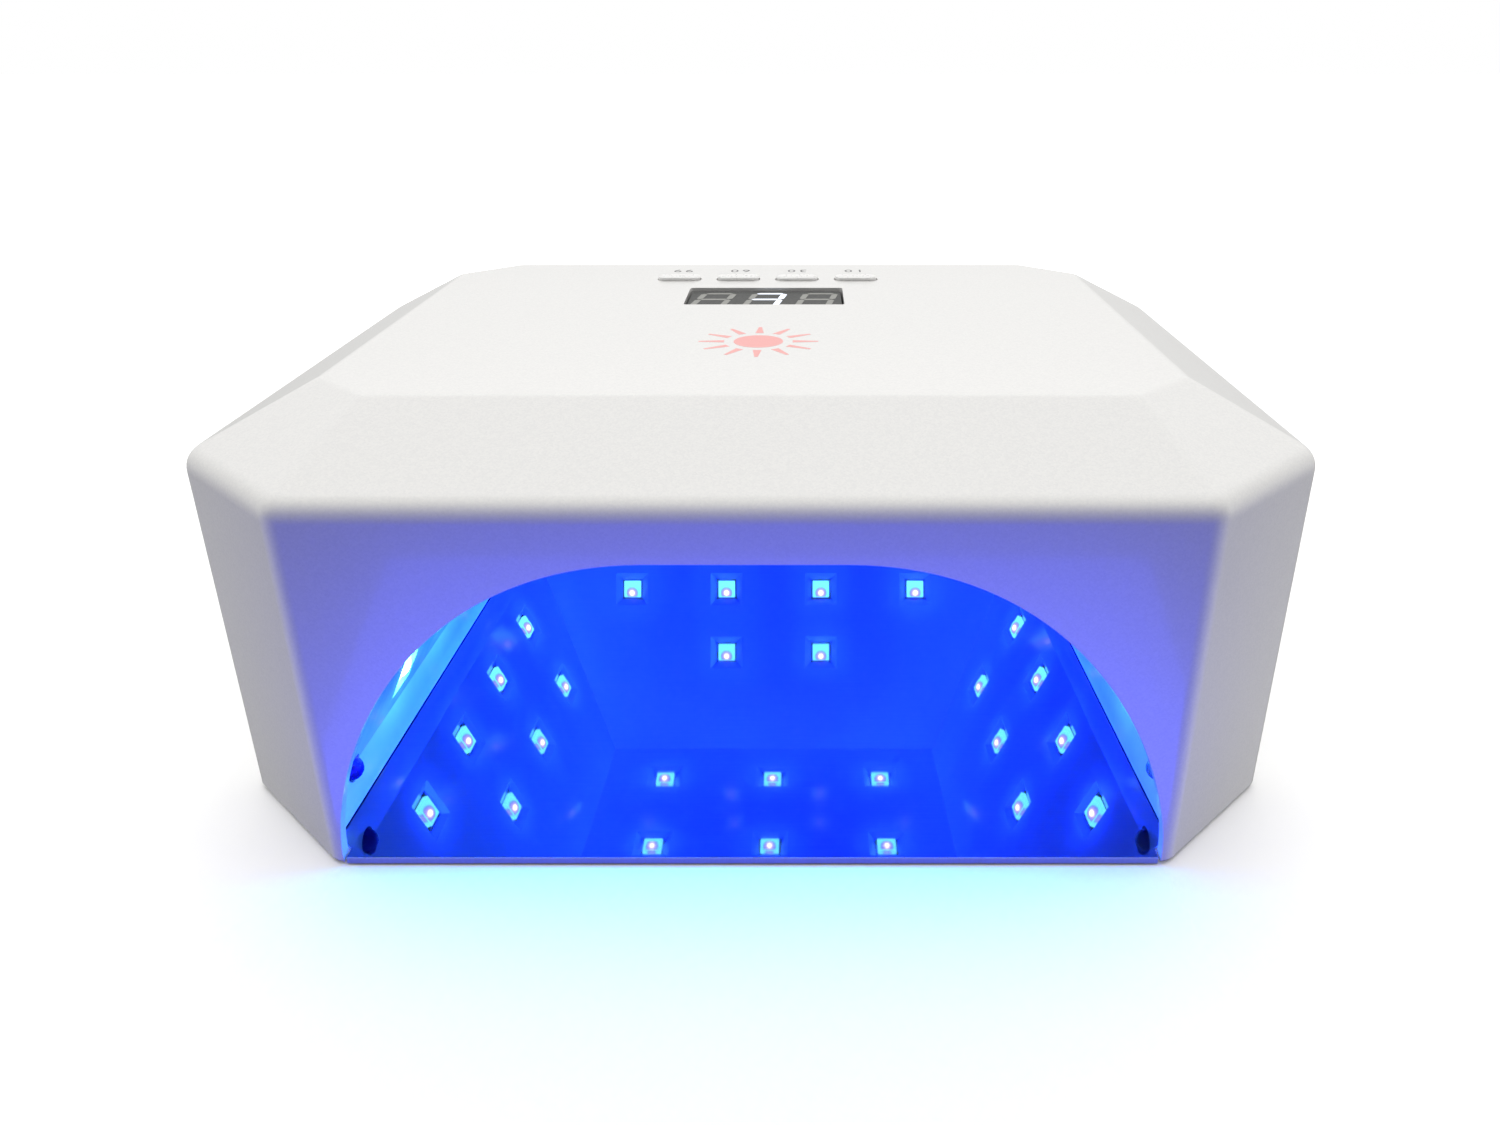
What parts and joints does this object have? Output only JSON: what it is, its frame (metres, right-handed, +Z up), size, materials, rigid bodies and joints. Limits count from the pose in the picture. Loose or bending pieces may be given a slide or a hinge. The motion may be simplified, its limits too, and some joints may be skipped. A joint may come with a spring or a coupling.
{
  "type": "uv led nail lamp",
  "caption": "Octagonal table-top nail curing lamp with an arched hand opening, digit display, spring time keys and a lift-off mirror base tray.",
  "frame": {"origin": "centre of the lamp's footprint, on the surface it stands on", "axes": "+X to the lamp's right seen from the arched opening's side, +Y from the arched opening to the back, +Z up"},
  "size_m": [0.205, 0.168, 0.0828],
  "materials": {
    "pearl_shell": "pearl-white gloss paint over moulded plastic",
    "reflector": "smooth glossy reflective liner",
    "frame_plastic": "fine moulded texture",
    "mirror_steel": "mirror-polished stainless sheet",
    "display_face": "grey face film",
    "display_segment": "translucent diffuser segments",
    "key_plastic": "satin white",
    "black_plastic": "satin black",
    "circuit_board": "green solder mask",
    "white_board": "white solder mask on aluminium",
    "led_package": "clear lens on a white and gold package",
    "clear_epoxy": "clear blue-tinted epoxy",
    "steel": "nickel-plated",
    "rubber": "matt black rubber",
    "grey_print": "pad-printed grey ink",
    "pink_print": "pad-printed pink ink"
  },
  "bodies": {
    "tray": {"base_tray": "mirror_steel", "tray_strip_left": "rubber", "tray_strip_right": "rubber"},
    "housing": {"bottom_frame": "frame_plastic", "control_board": "circuit_board", "dc_jack": "black_plastic", "display_module": "display_face", "foot_1": "rubber", "foot_2": "rubber", "foot_3": "rubber", "foot_4": "rubber", "inner_reflector": "reflector", "ir_emitter": "clear_epoxy", "ir_receiver": "black_plastic", "led_back_1": "led_package", "led_back_2": "led_package", "led_back_3": "led_package", "led_back_4": "led_package", "led_back_5": "led_package", "led_back_6": "led_package", "led_board_back": "white_board", "led_board_left": "white_board", "led_board_right": "white_board", "led_board_top": "white_board", "led_left_1": "led_package", "led_left_2": "led_package", "led_left_3": "led_package", "led_left_4": "led_package", "led_left_5": "led_package", "led_left_6": "led_package", "led_left_7": "led_package", "led_right_1": "led_package", "led_right_2": "led_package", "led_right_3": "led_package", "led_right_4": "led_package", "led_right_5": "led_package", "led_right_6": "led_package", "led_right_7": "led_package", "led_top_1": "led_package", "led_top_2": "led_package", "led_top_3": "led_package", "led_top_4": "led_package", "led_top_5": "led_package", "led_top_6": "led_package", "magnet_left": "steel", "magnet_right": "steel", "screw_1": "steel", "screw_2": "steel", "screw_3": "steel", "screw_4": "steel", "switch_10s": "black_plastic", "switch_30s": "black_plastic", "switch_60s": "black_plastic", "switch_99s": "black_plastic", "top_housing": "pearl_shell"},
    "key_99": {"key_99s": "key_plastic"},
    "key_60": {"key_60s": "key_plastic"},
    "key_30": {"key_30s": "key_plastic"},
    "key_10": {"key_10s": "key_plastic"}
  },
  "joints": [
    {"name": "tray_release", "type": "slide", "parent": "tray", "child": "housing", "axis": [0, 0, 1], "range_m": [0, 0.08]},
    {"name": "key_99_press", "type": "slide", "parent": "housing", "child": "key_99", "axis": [0, 0, -1], "range_m": [0, 0.0005], "stiffness_N_per_m": 1500},
    {"name": "key_60_press", "type": "slide", "parent": "housing", "child": "key_60", "axis": [0, 0, -1], "range_m": [0, 0.0005], "stiffness_N_per_m": 1500},
    {"name": "key_30_press", "type": "slide", "parent": "housing", "child": "key_30", "axis": [0, 0, -1], "range_m": [0, 0.0005], "stiffness_N_per_m": 1500},
    {"name": "key_10_press", "type": "slide", "parent": "housing", "child": "key_10", "axis": [0, 0, -1], "range_m": [0, 0.0005], "stiffness_N_per_m": 1500}
  ]
}
